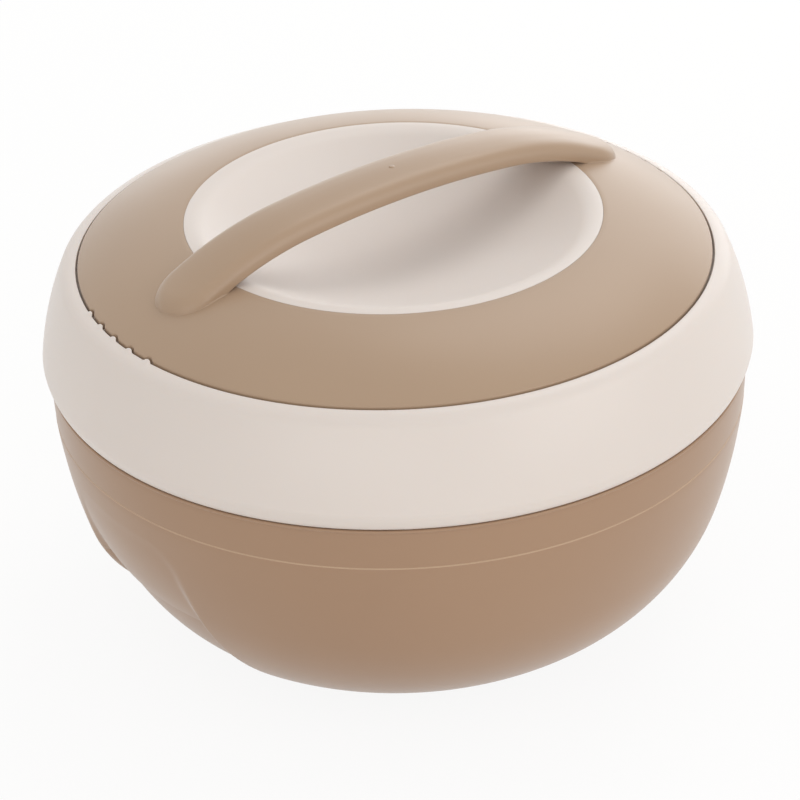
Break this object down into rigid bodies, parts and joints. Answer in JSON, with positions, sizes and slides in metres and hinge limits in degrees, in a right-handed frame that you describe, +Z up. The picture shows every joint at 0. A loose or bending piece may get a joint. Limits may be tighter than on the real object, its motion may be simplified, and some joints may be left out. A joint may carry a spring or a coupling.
{
  "type": "insulated food bowl",
  "caption": "Round double-walled food bowl with a steel liner, a twist-lock lift-off lid and an arched strap handle moulded on a domed ring.",
  "frame": {"origin": "centre of the foot ring's resting face", "axes": "+Z up, along the bowl's axis; +X along the carrying handle; the bowl's two finger scoops lie at +X and -X"},
  "size_m": [0.2596, 0.2596, 0.1763],
  "materials": {
    "body_brown": "satin moulded polypropylene, greyish brown",
    "lid_cream": "satin moulded polypropylene, cream",
    "handle_tan": "satin moulded polypropylene, tan",
    "inner_cream": "smooth moulded polypropylene, pale cream",
    "liner_steel": "stainless steel, spun and satin brushed",
    "seal_silicone": "translucent silicone",
    "foam": "rigid polyurethane foam",
    "screw_steel": "zinc plated"
  },
  "bodies": {
    "bowl": {"outer_shell": "body_brown", "base_cap": "body_brown", "cap_screws": "screw_steel", "fill_plug": "inner_cream", "body_insulation": "foam", "inner_liner": "liner_steel", "rim_collar": "inner_cream"},
    "seal": {"seal_ring": "seal_silicone"},
    "lid": {"lid_shell": "lid_cream", "handle_ring": "handle_tan", "handle_screws": "screw_steel", "lid_insulation": "foam", "lid_liner": "inner_cream"}
  },
  "joints": [
    {"name": "lid_lift", "type": "slide", "parent": "bowl", "child": "seal", "axis": [0, 0, 1], "range_m": [0, 0.12]},
    {"name": "lid_turn", "type": "hinge", "parent": "seal", "child": "lid", "pos_m": [0, 0, 0.1175], "axis": [0, 0, -1], "range_deg": [0, 26]}
  ]
}
